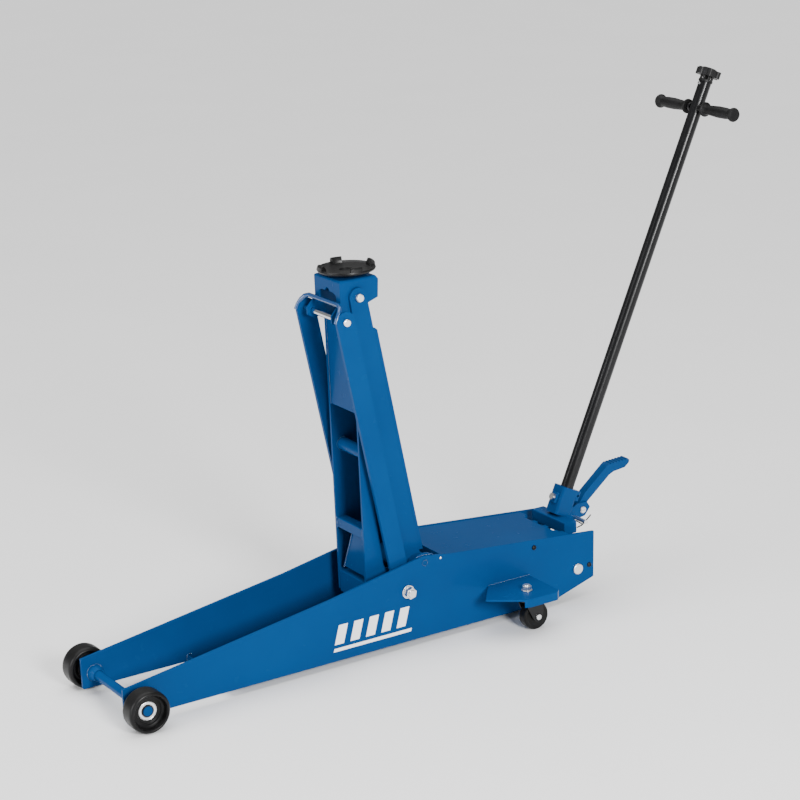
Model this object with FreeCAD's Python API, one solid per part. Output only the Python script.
import FreeCAD, Part
import math
import os

# Long-chassis trolley jack, shown raised.  Millimetres, +Z up, +X towards the handle,
# +Y to the right of somebody who stands at the handle and looks forwards along -X.
# Lengths along X are first counted from the front axle; MID_X moves the origin to the
# middle of the footprint, on the floor.

Vec = FreeCAD.Vector
os.makedirs("parts", exist_ok=True)

# ---- driving dimensions -------------------------------------------------------
MID_X = 745.5            # front axle to the middle of the whole length
GAP = 0.05               # between welded or bolted neighbours
RUN = 0.05               # radial running clearance of a pin in its hole
PLATE_T = 6.0            # side plate thickness
CHASSIS_HALF = 99.0      # half width over the side plates
CHASSIS_IN = CHASSIS_HALF - PLATE_T
FLOOR_Z = 14.0           # underside of the chassis

WHEEL_R = 43.5           # front wheel
WHEEL_W = 42.0
WHEEL_OUT = 160.5        # half track over the outer wheel faces
WHEEL_IN = WHEEL_OUT - WHEEL_W
AXLE_R = 10.0
BEARING_R = 19.5

CASTER_X = 874.0         # swivel axis
CASTER_Y = 170.0
CASTER_TRAIL = 15.0
CASTER_R = 30.0
CASTER_W = 24.0
SHELF_Z = 88.0           # top of the caster shelf
SHELF_T = 4.0

ARM_PIVOT = (673.0, 161.0)
LINK_PIVOT = (626.5, 123.0)
HEAD_PIN = (568.5, 750.5)
LINK_PIN = (522.0, 712.5)
ARM_IN = 51.0            # arm side plates, inner and outer faces
ARM_OUT = 57.0
LINK_IN = 75.0           # link bars, inner and outer faces
LINK_OUT = 83.0
HEAD_HALF = 50.5         # half width of the head bracket
HEAD_T = 5.0
HEAD_TOP = 788.0
SADDLE_X = 576.7
SADDLE_R = 60.0

CRANK_PIN = (631.5, 115.0)
CRANK_R = 8.0
RAM_Z = 107.0
CYL_FRONT = 750.0
CYL_BACK = 905.0

HANDLE_PIVOT = (1056.0, 72.0)
HANDLE_TOP = (1104.0, 221.0)            # where the tube leaves the socket
HANDLE_ANGLE = math.radians(25.11)      # lean of the tube from upright
TUBE_R = 14.0
TUBE_LENGTH = 927.0                     # from the socket mouth upwards
PUMP_NOSE = (1056.0, 46.0)
PEDAL_PIVOT = (1133.0, 167.0)
CLIP_PIN = (1109.0, 155.5)
CLIP_R = 1.4


# ---- helpers ------------------------------------------------------------------
def save(name, shape):
    """Write one node, moved so that the origin is in the middle of the footprint."""
    out = shape.copy()
    out.translate(Vec(-MID_X, 0, 0))
    out.exportStep("parts/%s.step" % name)


def box(x0, x1, y0, y1, z0, z1):
    return Part.makeBox(x1 - x0, y1 - y0, z1 - z0, Vec(x0, y0, z0))


def rod_y(centre, radius, y0, y1):
    low = min(y0, y1)
    return Part.makeCylinder(radius, abs(y1 - y0), Vec(centre[0], low, centre[1]), Vec(0, 1, 0))


def rod_x(y, z, radius, x0, x1):
    return Part.makeCylinder(radius, x1 - x0, Vec(x0, y, z), Vec(1, 0, 0))


def rod_z(x, y, radius, z0, z1):
    return Part.makeCylinder(radius, z1 - z0, Vec(x, y, z0), Vec(0, 0, 1))


def tube_y(centre, outer, inner, y0, y1):
    return rod_y(centre, outer, y0, y1).cut(rod_y(centre, inner, y0 - 1, y1 + 1))


def plate_xz(points, y0, y1):
    """A flat plate drawn in the XZ plane and thickened along Y."""
    low = min(y0, y1)
    loop = [Vec(x, low, z) for x, z in points]
    face = Part.Face(Part.makePolygon(loop + loop[:1]))
    return face.extrude(Vec(0, abs(y1 - y0), 0))


def plate_yz(points, x0, x1):
    loop = [Vec(x0, y, z) for y, z in points]
    face = Part.Face(Part.makePolygon(loop + loop[:1]))
    return face.extrude(Vec(x1 - x0, 0, 0))


def plate_xy(points, z0, z1):
    loop = [Vec(x, y, z0) for x, y in points]
    face = Part.Face(Part.makePolygon(loop + loop[:1]))
    return face.extrude(Vec(0, 0, z1 - z0))


def hexagon_y(centre, flats, y0, y1):
    radius = flats / math.sqrt(3)
    points = []
    for i in range(6):
        a = math.radians(60 * i + 15)
        points.append((centre[0] + radius * math.cos(a), centre[1] + radius * math.sin(a)))
    return plate_xz(points, y0, y1)


def spin_y(profile, centre):
    """Revolve a (radius, y) profile about the line along Y through centre."""
    loop = [Vec(centre[0] + r, y, centre[1]) for r, y in profile]
    face = Part.Face(Part.makePolygon(loop + loop[:1]))
    return face.revolve(Vec(centre[0], 0, centre[1]), Vec(0, 1, 0), 360)


def spin_z(profile, x, y):
    loop = [Vec(x + r, y, z) for r, z in profile]
    face = Part.Face(Part.makePolygon(loop + loop[:1]))
    return face.revolve(Vec(x, y, 0), Vec(0, 0, 1), 360)


def mirrored(shape):
    return shape.mirror(Vec(0, 0, 0), Vec(0, 1, 0))


def group(shapes):
    return Part.makeCompound(shapes)


def bar_between(p, q, radius_p, radius_q, y0, y1):
    """A flat bar with round ends, one end larger than the other if asked."""
    dx = q[0] - p[0]
    dz = q[1] - p[1]
    length = math.hypot(dx, dz)
    nx = -dz / length
    nz = dx / length
    points = [
        (p[0] + nx * radius_p, p[1] + nz * radius_p),
        (q[0] + nx * radius_q, q[1] + nz * radius_q),
        (q[0] - nx * radius_q, q[1] - nz * radius_q),
        (p[0] - nx * radius_p, p[1] - nz * radius_p),
    ]
    body = plate_xz(points, y0, y1)
    body = body.fuse(rod_y(p, radius_p, y0, y1))
    body = body.fuse(rod_y(q, radius_q, y0, y1))
    return body.removeSplitter()


def pipe(points, radius):
    """A round bar along a polyline, with ball corners."""
    body = None
    for a, b in zip(points[:-1], points[1:]):
        step = Part.makeCylinder(radius, (b - a).Length, a, b - a)
        body = step if body is None else body.fuse(step)
    for p in points[1:-1]:
        body = body.fuse(Part.makeSphere(radius, p))
    return body.removeSplitter()


# Handle frame: u runs up the tube, w runs forwards and up, across the tube.
U = Vec(math.sin(HANDLE_ANGLE), 0, math.cos(HANDLE_ANGLE))
W = Vec(-math.cos(HANDLE_ANGLE), 0, math.sin(HANDLE_ANGLE))
MOUTH = Vec(HANDLE_TOP[0], 0, HANDLE_TOP[1])


def on_handle(up, across=0.0, y=0.0):
    return MOUTH + U * up + W * across + Vec(0, y, 0)


def handle_rod(radius, up0, up1, across=0.0, y=0.0):
    return Part.makeCylinder(radius, up1 - up0, on_handle(up0, across, y), U)


def handle_block(up0, up1, across0, across1, y0, y1, corner=0.0):
    corners = [(across0, y0), (across1, y0), (across1, y1), (across0, y1)]
    loop = [on_handle(up0, a, y) for a, y in corners]
    face = Part.Face(Part.makePolygon(loop + loop[:1]))
    body = face.extrude(U * (up1 - up0))
    if corner > 0:
        long_edges = [e for e in body.Edges if abs(e.Length - (up1 - up0)) < 0.01]
        body = body.makeFillet(corner, long_edges)
    return body


# ---- chassis plates -----------------------------------------------------------
SIDE_OUTLINE = [
    (-28.5, 16), (-26.5, 14), (992, 14), (1000, 16), (1098, 45), (1102, 148),
    (736, 181.6), (690, 188.5), (669, 191), (645, 187), (521, 164), (441, 149),
    (-12, 81), (-28.5, 78.5),
]
SCREWS = [(944.0, 146.0), (1087.0, 74.0)]

side = plate_xz(SIDE_OUTLINE, -CHASSIS_HALF, -CHASSIS_IN)
for centre, radius in (
    ((0, WHEEL_R), AXLE_R + RUN),
    (LINK_PIVOT, 8 + RUN),
    (HANDLE_PIVOT, 10 + RUN),
):
    side = side.cut(rod_y(centre, radius, -CHASSIS_HALF - 1, -CHASSIS_IN + 1))
save("side_plate_right", side)
save("side_plate_left", mirrored(side))

DECK_IN = CHASSIS_IN - GAP
deck = plate_xz(
    [(712, 184.2), (736, 180.4), (1042, 152.4), (1042, 148.4), (736, 176.4), (716, 179.6),
     (716, 167), (712, 167)],
    -DECK_IN, DECK_IN,
)
deck = deck.cut(box(1034, 1043, -66, 66, 140, 160))
for y in (-40, 0, 40):
    deck = deck.cut(box(1026, 1035, y - 14, y + 14, 140, 160))
save("deck_plate", deck)

bottom = box(205, 985, -DECK_IN, DECK_IN, FLOOR_Z, FLOOR_Z + 4)
bottom = bottom.fuse(box(205, 209, -DECK_IN, DECK_IN, FLOOR_Z + 4, FLOOR_Z + 14))
save("bottom_plate", bottom.removeSplitter())

# ---- front axle and wheels ----------------------------------------------------
AXLE = (0.0, WHEEL_R)
AXLE_END = 147.0
axle = rod_y(AXLE, AXLE_R, -AXLE_END, AXLE_END)
for s in (-1, 1):
    groove = tube_y(AXLE, AXLE_R + 1, AXLE_R - 1.5, s * 144.4 - 0.8, s * 144.4 + 0.8)
    axle = axle.cut(groove)
save("front_axle", axle)

bosses = []
for s in (-1, 1):
    inner = spin_y(
        [(AXLE_R + GAP, s * 74), (12.5, s * 74), (17, s * 86), (17, s * DECK_IN),
         (AXLE_R + GAP, s * DECK_IN)], AXLE)
    bosses.append(inner)
    out = s * (CHASSIS_HALF + GAP)
    bosses.append(tube_y(AXLE, 16, AXLE_R + GAP, min(out, s * 118.2), max(out, s * 118.2)))
save("axle_bosses", group(bosses))

clips = []
for s in (-1, 1):
    clips.append(tube_y(AXLE, 12.6, AXLE_R - 1.4, s * 144.4 - 0.7, s * 144.4 + 0.7))
save("axle_clips", group(clips))

# Radius and depth from the outer face; the tyre and its deep dish are one moulding.
WHEEL_PROFILE = [
    (BEARING_R + GAP, 16), (24, 16), (25, 14), (30, 15), (33.5, 12), (35, 2), (36.5, 0),
    (38.5, 0), (41, 1.5), (42.8, 4.5), (WHEEL_R, 9), (WHEEL_R, 33), (42.8, 37.5), (41, 40.5),
    (38.5, 42), (36.5, 42), (35, 40), (33.5, 31), (30, 28), (25, 29), (24, 41.6),
    (BEARING_R + GAP, 41.6),
]
for name, s in (("right", -1), ("left", 1)):
    profile = [(r, s * (WHEEL_OUT - d)) for r, d in WHEEL_PROFILE]
    save("front_wheel_%s" % name, spin_y(profile, AXLE))
    race = spin_y(
        [(AXLE_R + RUN, s * 119.2), (13, s * 119.2), (BEARING_R, s * 119.2),
         (BEARING_R, s * 144.9), (18.3, s * 145.6), (17.6, s * 144.6), (13.4, s * 144.6),
         (13.4, s * 143.2), (AXLE_R + RUN, s * 143.2)], AXLE)
    save("wheel_bearing_%s" % name, race)

# ---- caster shelves and casters -----------------------------------------------
SHELF = [(823, 99.05), (775, 163), (782, 170), (838, 214), (850, 219), (918, 219), (929, 208),
         (929, 99.05)]
LIP_Z = 70.0
shelf = plate_xy([(x, -y) for x, y in SHELF], SHELF_Z - SHELF_T, SHELF_Z)
lip = plate_xy([(838, -214), (850, -219), (918, -219), (929, -208), (925, -206), (916.5, -215),
                (851, -215), (840.5, -210.8)], LIP_Z, SHELF_Z - SHELF_T)
shelf = shelf.fuse(lip)
web = plate_xz([(828, SHELF_Z - SHELF_T), (925, SHELF_Z - SHELF_T), (905, 62), (850, 62)],
               -CHASSIS_HALF - 5, -CHASSIS_HALF - GAP)
shelf = shelf.fuse(web).cut(rod_z(CASTER_X, -CASTER_Y, 6.4, 60, 100)).removeSplitter()
save("caster_shelves", group([shelf, mirrored(shelf)]))

STEM_TOP = 101.0
PLATE_TOP = SHELF_Z - SHELF_T - GAP
washers = []
nuts = []
cups = []
for s in (-1, 1):
    y = s * CASTER_Y
    washers.append(rod_z(CASTER_X, y, 12, SHELF_Z + GAP, SHELF_Z + 2)
                   .cut(rod_z(CASTER_X, y, 6.4, 80, 100)))
    hexa = []
    for i in range(6):
        a = math.radians(60 * i + 10)
        hexa.append((CASTER_X + 10.4 * math.cos(a), y + 10.4 * math.sin(a)))
    nuts.append(plate_xy(hexa, SHELF_Z + 2.05, SHELF_Z + 11).cut(rod_z(CASTER_X, y, 6.05, 80, 110)))
    stem = rod_z(CASTER_X, y, 6, 61.5, STEM_TOP).fuse(rod_z(CASTER_X, y, 9, 61.5, 63.7))
    cups.append(stem.fuse(rod_z(CASTER_X, y, 17, 76.4, PLATE_TOP)))
save("caster_nuts", group(nuts + washers))
save("caster_stems", group([c.removeSplitter() for c in cups]))

WHEEL_X = CASTER_X + CASTER_TRAIL
CASTER_HUB = (WHEEL_X, CASTER_R)
for name, s in (("right", -1), ("left", 1)):
    y = s * CASTER_Y
    crown = rod_z(CASTER_X, y, 19, 66, 76.1).cut(rod_z(CASTER_X, y, 6.05, 60, 80))
    fork = crown.fuse(box(CASTER_X - 12, WHEEL_X + 12, y - 17.6, y + 17.6, 64, 69))
    for side_sign in (-1, 1):
        y0 = y + side_sign * 14.6
        y1 = y + side_sign * 17.6
        cheek = plate_xz([(CASTER_X - 13, 69), (CASTER_X - 8, 50), (WHEEL_X - 11, 26),
                          (WHEEL_X + 11, 26), (WHEEL_X + 14, 44), (WHEEL_X + 12, 69)], y0, y1)
        cheek = cheek.fuse(rod_y(CASTER_HUB, 11, y0, y1))
        fork = fork.fuse(cheek)
    fork = fork.cut(rod_y(CASTER_HUB, CASTER_R + 2.5, y - 14.6, y + 14.6))
    fork = fork.cut(rod_y(CASTER_HUB, 5 + GAP, y - 20, y + 20))
    fork = fork.cut(rod_z(CASTER_X, y, 6.05, 60, 80)).removeSplitter()
    save("caster_fork_%s" % name, fork)
    bolt = rod_y(CASTER_HUB, 5, y - 19.5, y + 19.5)
    for side_sign in (-1, 1):
        start = y + side_sign * 17.7
        end = y + side_sign * 21.2
        bolt = bolt.fuse(rod_y(CASTER_HUB, 6, start, end))
    save("caster_bolt_%s" % name, bolt.removeSplitter())
    half = CASTER_W / 2
    tread = spin_y(
        [(5 + RUN, y - half - 1.5), (9, y - half - 1.5), (10, y - half + 1), (22, y - half + 1),
         (24, y - half), (28, y - half), (CASTER_R, y - half + 3), (CASTER_R, y + half - 3),
         (28, y + half), (24, y + half), (22, y + half - 1), (10, y + half - 1),
         (9, y + half + 1.5), (5 + RUN, y + half + 1.5)], CASTER_HUB)
    save("caster_wheel_%s" % name, tread)

# ---- pivots carried by the chassis --------------------------------------------
SHAFT_R = 15.0
save("main_shaft", rod_y(ARM_PIVOT, SHAFT_R, -DECK_IN, DECK_IN))
bosses = []
for s in (-1, 1):
    bosses.append(spin_y(
        [(SHAFT_R + GAP, s * 57.4), (22, s * 57.4), (22, s * 84), (30, s * 84),
         (34, s * 88), (34, s * DECK_IN), (SHAFT_R + GAP, s * DECK_IN)], ARM_PIVOT))
save("pivot_bosses", group(bosses))

bolts = []
bolt_washers = []
bolt_nuts = []
for s in (-1, 1):
    shank = rod_y(LINK_PIVOT, 8, s * 74.6, s * 117)
    head = hexagon_y(LINK_PIVOT, 24, s * 66, s * 74.6)
    bolts.append(shank.fuse(head).removeSplitter())
    bolt_washers.append(tube_y(LINK_PIVOT, 14.5, 8 + GAP, min(s * 99.05, s * 101.4),
                               max(s * 99.05, s * 101.4)))
    bolt_washers.append(tube_y(LINK_PIVOT, 13, 8 + GAP, min(s * 83.3, s * 92.95),
                               max(s * 83.3, s * 92.95)))
    nut = hexagon_y(LINK_PIVOT, 22, s * 101.45, s * 114)
    bolt_nuts.append(nut.cut(rod_y(LINK_PIVOT, 8 + GAP, s * 95, s * 118)))
save("link_bolts", group(bolts))
save("link_nuts", group(bolt_nuts + bolt_washers))

shaft = rod_y(HANDLE_PIVOT, 10, -CHASSIS_HALF - 0.3, CHASSIS_HALF + 0.3)
for s in (-1, 1):
    shaft = shaft.fuse(spin_y(
        [(0, s * 99.3), (12.2, s * 99.3), (12.2, s * 102.6), (10.6, s * 104), (0, s * 104)],
        HANDLE_PIVOT))
save("handle_shaft", shaft.removeSplitter())

screws = []
for s in (-1, 1):
    for centre in SCREWS:
        screw = spin_y([(0, s * 99.05), (5.6, s * 99.05), (5.0, s * 101.2), (3.2, s * 102.6),
                        (0, s * 102.6)], centre)
        screws.append(screw.cut(hexagon_y(centre, 3.6, s * 101.2, s * 103)))
save("cover_screws", group(screws))

# ---- hydraulic unit under the deck --------------------------------------------
BORE_R = 22.0
ROD_R = 13.0
cylinder = rod_x(0, RAM_Z, 30, CYL_FRONT, CYL_BACK).cut(rod_x(0, RAM_Z, BORE_R, 756, 900))
cylinder = cylinder.cut(rod_x(0, RAM_Z, ROD_R + RUN, 740, 760))
save("ram_cylinder", cylinder)
tank = box(772, CYL_BACK, -58, 58, 38, 146).cut(rod_x(0, RAM_Z, 30 + GAP, 770, 910))
tank_edges = [e for e in tank.Edges if abs(e.Length - (CYL_BACK - 772)) < 0.01]
outer_edges = [e for e in tank_edges if abs(abs(e.CenterOfMass.y) - 58) < 0.1]
save("reservoir", tank.makeFillet(12, outer_edges))
pump = box(CYL_BACK + GAP, 992, -46, 46, 30, 134)
pump = pump.cut(rod_x(0, PUMP_NOSE[1], 7 + RUN, 930, 993))
pump = pump.cut(rod_x(30, 96, 7 + GAP, 975, 993))
valve = rod_x(30, 96, 7, 976, 1004).fuse(rod_x(30, 96, 10, 992.1, 998))
save("pump_block", group([pump, valve.removeSplitter()]))
mounts = []
for s in (-1, 1):
    mounts.append(box(800, 980, s * 75 - 17.9, s * 75 + 17.9, FLOOR_Z + 4.05, FLOOR_Z + 9)
                  .fuse(box(910, 970, s * 50 - 3.9, s * 50 + 3.9, FLOOR_Z + 9, 110))
                  .removeSplitter())
save("pump_brackets", group(mounts))

# ---- lift arm -----------------------------------------------------------------
EAR_R = 20.0
side = plate_xz(
    [(552, 722), (552, 104), (560, 92), (650, 92), (670, 116), (690, 132), (704, 150), (704, 172),
     (684.5, 186), (601.8, 671.6), (590, 738), (HEAD_PIN[0], HEAD_PIN[1] + 6),
     (549.5, 744)],
    -ARM_OUT, -ARM_IN)
side = side.fuse(rod_y(HEAD_PIN, EAR_R, -ARM_OUT, -ARM_IN))
slot = plate_xz([(556, 540), (561, 464), (596, 176), (602, 168), (622, 168), (626, 176),
                 (582, 464), (560, 552)], -ARM_OUT - 1, -ARM_IN + 1)
for centre, radius in ((ARM_PIVOT, SHAFT_R + RUN), (HEAD_PIN, 8 + GAP),
                       (CRANK_PIN, CRANK_R + GAP)):
    side = side.cut(rod_y(centre, radius, -ARM_OUT - 1, -ARM_IN + 1))
side = side.removeSplitter()
save("arm_sides", group([side.cut(slot).removeSplitter(), mirrored(side)]))

ARM_Y = ARM_IN - GAP
save("arm_front_plate", box(554, 559, -ARM_Y, ARM_Y, 509, 694))
cross = box(553, 576, -ARM_Y, ARM_Y, 240, 262)
save("arm_cross_bar", cross.makeFillet(2, [e for e in cross.Edges if abs(e.Length - 2 * ARM_Y) < 1]))
gusset = plate_yz([(-ARM_Y, 239.9), (-3, 239.9), (36.8, 156), (-ARM_Y, 156)], 557, 562)
save("arm_gusset", gusset)
toe = box(552.5, 557, -ARM_Y, ARM_Y, 98, 145)
toe = toe.fuse(box(557, 598, -ARM_Y, ARM_Y, 141, 145))
save("arm_toe_plate", toe.removeSplitter())
save("arm_cross_tube", tube_y((577, 418), 14, 10, -ARM_Y, ARM_Y))
save("arm_hub", tube_y(ARM_PIVOT, 26, SHAFT_R + RUN, -ARM_Y, ARM_Y))
save("crank_pin", rod_y(CRANK_PIN, CRANK_R, -ARM_OUT - 2, ARM_OUT + 2))

# The closing channel at the back stands a little proud of the side plates.
channel = plate_xz([(607, 680), (612, 676), (696.5, 188), (691.5, 188)], -ARM_Y, ARM_Y)
for s in (-1, 1):
    channel = channel.fuse(plate_xz(
        [(580, 680), (607.5, 680), (692.5, 188), (664, 188)],
        min(s * ARM_Y, s * (ARM_Y - 5)), max(s * ARM_Y, s * (ARM_Y - 5))))
save("arm_back_channel", channel.removeSplitter())

pin = rod_y(HEAD_PIN, 8, -ARM_OUT - 0.2, ARM_OUT + 0.2)
for s in (-1, 1):
    pin = pin.fuse(spin_y([(0, s * 57.2), (8.6, s * 57.2), (8.6, s * 64.2), (7.2, s * 66),
                           (0, s * 66)], HEAD_PIN))
save("head_pin", pin.removeSplitter())

# ---- head bracket and saddle --------------------------------------------------
cheek_outline = [
    (530, 744), (530, HEAD_TOP), (614, HEAD_TOP), (620, 780), (617.5, 743), (594, 734.7),
    (566, 726), (538, 700), (522, 697), (508, 706), (508, 720),
]
CHEEK_IN = HEAD_HALF - HEAD_T
head = box(535, 600, -CHEEK_IN, CHEEK_IN, HEAD_TOP - HEAD_T, HEAD_TOP)
head = head.fuse(box(600, 614, -CHEEK_IN, CHEEK_IN, HEAD_TOP - HEAD_T, HEAD_TOP))
head = head.fuse(plate_yz(
    [(-CHEEK_IN, 730), (-CHEEK_IN, HEAD_TOP), (CHEEK_IN, HEAD_TOP), (CHEEK_IN, 730),
     (36, 730), (33, 756), (24, 760), (9, 761), (4, 767), (-4, 767), (-9, 761), (-24, 760),
     (-33, 756), (-36, 730)], 530, 535))
for s in (-1, 1):
    y0 = min(s * CHEEK_IN, s * HEAD_HALF)
    head = head.fuse(plate_xz(cheek_outline, y0, y0 + HEAD_T))
head = head.removeSplitter()
top_edges = []
for e in head.Edges:
    mid = e.CenterOfMass
    long_top = abs(mid.z - HEAD_TOP) < 0.1 and abs(abs(mid.y) - HEAD_HALF) < 0.1
    front_top = abs(mid.z - HEAD_TOP) < 0.1 and abs(mid.x - 530) < 0.1
    if long_top or front_top:
        top_edges.append(e)
head = head.makeFillet(4.5, top_edges)
head = head.cut(rod_y(HEAD_PIN, 8 + RUN, -60, 60))
head = head.cut(rod_y(LINK_PIN, 6.5 + 0.4, -60, 60))
head = head.cut(rod_z(SADDLE_X, 0, 10 + RUN, 770, 800))
save("head_bracket", head)

post_profile = [
    (0, 768), (10, 768), (10, HEAD_TOP + 0.3), (34, HEAD_TOP + 0.3), (52, 793.5), (58.5, 797),
    (SADDLE_R, 800), (59, 802.5), (56, 803), (50, 799.5), (24, 797.5), (15, 797.5), (13, 794),
    (0, 794),
]
saddle = spin_z(post_profile, SADDLE_X, 0)
for k in range(4):
    a = math.radians(-9 + 90 * k)
    outer = []
    for r, z in ((47, 796.5), (58, 797), (59.5, 800), (59, 808), (56.5, 811.5), (52.5, 811.5),
                 (48.5, 805)):
        outer.append(Vec(r, 0, z))
    lug_face = Part.Face(Part.makePolygon(outer + outer[:1]))
    lug = lug_face.revolve(Vec(0, 0, 0), Vec(0, 0, 1), 24)
    lug.rotate(Vec(0, 0, 0), Vec(0, 0, 1), math.degrees(a) - 12)
    lug.translate(Vec(SADDLE_X, 0, 0))
    saddle = saddle.fuse(lug)
save("saddle", saddle.removeSplitter())
save("saddle_clip", rod_z(SADDLE_X, 0, 14, 770, 772.5).cut(rod_z(SADDLE_X, 0, 10 + GAP, 760, 780)))

# ---- parallel links -----------------------------------------------------------
bar = bar_between(LINK_PIVOT, LINK_PIN, 20, 21, -LINK_OUT, -LINK_IN)
bar = bar.cut(rod_y(LINK_PIVOT, 8 + RUN, -LINK_OUT - 1, -LINK_IN + 1))
bar = bar.cut(rod_y(LINK_PIN, 6.5 + GAP, -LINK_OUT - 1, -LINK_IN + 1))
save("link_bars", group([bar, mirrored(bar)]))
rod = rod_y(LINK_PIN, 6.5, -LINK_OUT - 0.1, LINK_OUT + 0.1)
for s in (-1, 1):
    rod = rod.fuse(spin_y([(0, s * 83.1), (8.2, s * 83.1), (8.2, s * 88.6), (6.8, s * 90),
                           (0, s * 90)], LINK_PIN))
save("link_rod", rod.removeSplitter())
BAIL_R = 4.5
bail = pipe(
    [Vec(500, -79, 712), Vec(504.5, -78.5, 722), Vec(511, -76, 732), Vec(517, -70, 739.5),
     Vec(520.5, -58, 743), Vec(520.5, 58, 743), Vec(517, 70, 739.5), Vec(511, 76, 732),
     Vec(504.5, 78.5, 722), Vec(500, 79, 712)],
    BAIL_R)
for s in (-1, 1):
    bail = bail.cut(bar_between(LINK_PIVOT, LINK_PIN, 20 + GAP, 21 + GAP, s * 79 - 6, s * 79 + 6))
save("bail", bail)

# ---- ram ----------------------------------------------------------------------
ram = rod_x(0, RAM_Z, ROD_R, 654.05, 800).fuse(rod_x(0, RAM_Z, BORE_R - 0.06, 800, 812))
save("ram_rod", ram.removeSplitter())
yoke = box(614, 654, -17, 17, 82, 131).cut(box(621, 642, -18, 18, 88, 127))
save("ram_fork", yoke)

# ---- handle socket ------------------------------------------------------------
EAR_IN = 30.0
EAR_T = 12.0
block = box(1052, 1084, -60, 60, 138, 166)
block = block.makeFillet(3, [e for e in block.Edges if abs(e.Length - 120) < 0.1])
for s in (-1, 1):
    ear = plate_xz([(1042, 72), (1046, 104), (1054, 140), (1082, 140), (1076, 104), (1070, 72)],
                   min(s * EAR_IN, s * (EAR_IN + EAR_T)), max(s * EAR_IN, s * (EAR_IN + EAR_T)))
    ear = ear.fuse(rod_y(HANDLE_PIVOT, 14, s * EAR_IN, s * (EAR_IN + EAR_T)))
    block = block.fuse(ear)
block = block.fuse(rod_y(HANDLE_PIVOT, 14, -EAR_IN, EAR_IN))
block = block.fuse(plate_xz([(1050, 46), (1050, 72), (1062, 72), (1062, 46)], -8, 8))
block = block.fuse(rod_y(PUMP_NOSE, 9, -8, 8))
block = block.cut(rod_y(HANDLE_PIVOT, 10 + RUN, -50, 50))

socket = handle_block(-62, 0, -20, 22, -21, 21, 7)
socket = socket.fuse(handle_block(-22, -0.2, -28, -16, -20, 20, 5))
socket = socket.fuse(handle_block(-40, -16, 20, 27, -10, 10, 3))
socket = socket.cut(handle_rod(TUBE_R + GAP, -52, 5))
socket = socket.cut(handle_rod(5, -70, 5))
socket = socket.cut(Part.makeCylinder(2.8, 60, on_handle(-11, -21.5, -30), Vec(0, 1, 0)))
PEDAL_HALF = 11.0
LUG_IN = PEDAL_HALF + 0.3
for s in (-1, 1):
    lug = plate_xz([(1074, 141), (1074, 164), (1120, 183), (1145, 183), (1153, 169.5),
                    (1139, 152.5), (1126, 150)],
                   min(s * LUG_IN, s * (LUG_IN + 5)), max(s * LUG_IN, s * (LUG_IN + 5)))
    socket = socket.fuse(lug)
socket = socket.cut(rod_y(PEDAL_PIVOT, 6 + GAP, -30, 30))
socket = block.fuse(socket)
socket = socket.cut(handle_rod(TUBE_R + GAP, -52, 5))
socket = socket.cut(rod_y(CLIP_PIN, 4.5 + GAP, -70, -11))
save("handle_socket", socket.removeSplitter())
clamp_bolt = Part.makeCylinder(7.4, 6.5, on_handle(-28, 27.05, 0), W)
CLIP_PATH = [Vec(1125, -57, 168), Vec(1109, -57, 155.5), Vec(1100, -57, 149.5),
             Vec(1087.5, -57, 147)]
clip_stub = rod_y(CLIP_PIN, 4.5, -61, -11.5).cut(pipe(CLIP_PATH, CLIP_R + 0.1))
clip = pipe(CLIP_PATH, CLIP_R)
clip = clip.fuse(pipe([Vec(1103, -57, 151.5), Vec(1106, -52, 148.9), Vec(1109, -24, 148.9)],
                      CLIP_R)).removeSplitter()
save("socket_pins", group([clamp_bolt, clip_stub]))

tube = handle_rod(TUBE_R, -51.9, TUBE_LENGTH).cut(handle_rod(11, -53, TUBE_LENGTH + 1))
T_UP = TUBE_LENGTH - 58
tube = tube.cut(Part.makeCylinder(7.05, 60, on_handle(T_UP, 0, -30), Vec(0, 1, 0)))
save("handle_tube", tube)

GRIP_IN = 27.0
GRIP_OUT = 129.5
t_axis = on_handle(T_UP)
t_centre = (t_axis.x, t_axis.z)
bar = rod_y(t_centre, 7, -GRIP_OUT + 3, GRIP_OUT - 3)
bar = bar.cut(handle_rod(5.2, T_UP - 20, T_UP + 20))
grips = []
collars = []
for s in (-1, 1):
    grips.append(spin_y(
        [(7 + GAP, s * GRIP_IN), (15, s * GRIP_IN), (16, s * 29), (16, s * 31.5), (12, s * 34),
         (10.2, s * 40), (11, s * 52), (12.6, s * 76), (12.3, s * 100), (10.8, s * 114),
         (12.5, s * 118), (15, s * 121.5), (15.4, s * 125.5), (13, s * GRIP_OUT),
         (0, s * GRIP_OUT), (0, s * 126.6), (7 + GAP, s * 126.6)], t_centre))
    collars.append(tube_y(t_centre, 10, 7 + GAP, min(s * 14.2, s * 20), max(s * 14.2, s * 20)))
save("grips", group(grips))
save("t_bar", group([bar] + collars))

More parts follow.
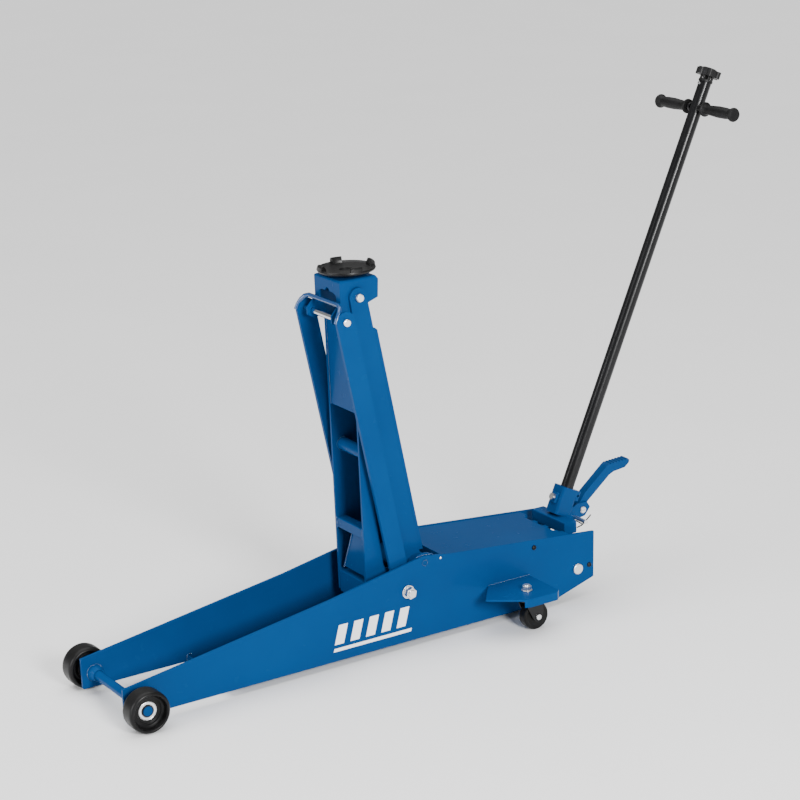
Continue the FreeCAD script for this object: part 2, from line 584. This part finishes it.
# ---- release knob -------------------------------------------------------------
KNOB = TUBE_LENGTH + 0.4
knob = handle_rod(15.6, KNOB, KNOB + 4.5)
knob = knob.fuse(handle_rod(22, KNOB + 13, KNOB + 28))
knob = knob.fuse(handle_rod(6.6, KNOB + 4, KNOB + 14))
for k in range(8):
    a = math.radians(45 * k + 22.5)
    cos_a = math.cos(a)
    sin_a = math.sin(a)
    knob = knob.fuse(handle_rod(2.4, KNOB + 4, KNOB + 14, 12.8 * cos_a, 12.8 * sin_a))
for k in range(6):
    a = math.radians(60 * k)
    cos_a = math.cos(a)
    sin_a = math.sin(a)
    knob = knob.fuse(handle_rod(7, KNOB + 13, KNOB + 28, 21 * cos_a, 21 * sin_a))
knob = knob.fuse(Part.makeCone(20, 14, 3, on_handle(KNOB + 28), U))
knob = knob.cut(handle_rod(5 + GAP, KNOB - 2, KNOB + 22))
save("release_knob", knob.removeSplitter())
save("release_rod", handle_rod(5, -50, KNOB + 21.9))
rivet = Part.makeCylinder(3.4, 3.2, on_handle(TUBE_LENGTH - 6, TUBE_R - 0.1), W)
rivet = rivet.cut(handle_rod(TUBE_R + GAP, TUBE_LENGTH - 20, TUBE_LENGTH))
save("tube_rivet", rivet)

# ---- pump plunger, pedal, wire clip -------------------------------------------
save("pump_plunger", rod_x(0, PUMP_NOSE[1], 7, 950, 1046.2))

pedal = plate_xz(
    [(1124, 176), (1144, 201.3), (1204.9, 250.1), (1212, 254.5), (1262, 257), (1266.5, 252.5),
     (1265.5, 247), (1253.9, 237.7), (1223, 234.4), (1211.2, 229.5), (1147, 178.5), (1138, 160)],
    -PEDAL_HALF, PEDAL_HALF)
pedal = pedal.fuse(rod_y(PEDAL_PIVOT, 12.5, -PEDAL_HALF, PEDAL_HALF))
for i in range(6):
    x = 1214 + 8 * i
    z = 254.6 + 0.4 * i
    groove = plate_xz([(x, z + 3), (x, z - 2.2), (x + 2.2, z - 2.2), (x + 5, z + 3)], -31, 31)
    pedal = pedal.cut(groove)
pedal = pedal.cut(rod_y(PEDAL_PIVOT, 6 + RUN, -30, 30))
save("pedal", pedal.removeSplitter())
screw = rod_y(PEDAL_PIVOT, 6, -16.4, 16.4)
for s in (-1, 1):
    screw = screw.fuse(spin_y([(0, s * 16.4), (7.6, s * 16.4), (7.6, s * 18.8), (6, s * 20.4),
                               (0, s * 20.4)], PEDAL_PIVOT))
screw = screw.cut(box(1127, 1139, -25, -19.2, 166.3, 167.7))
save("pedal_screw", screw.removeSplitter())

save("wire_clip", clip)
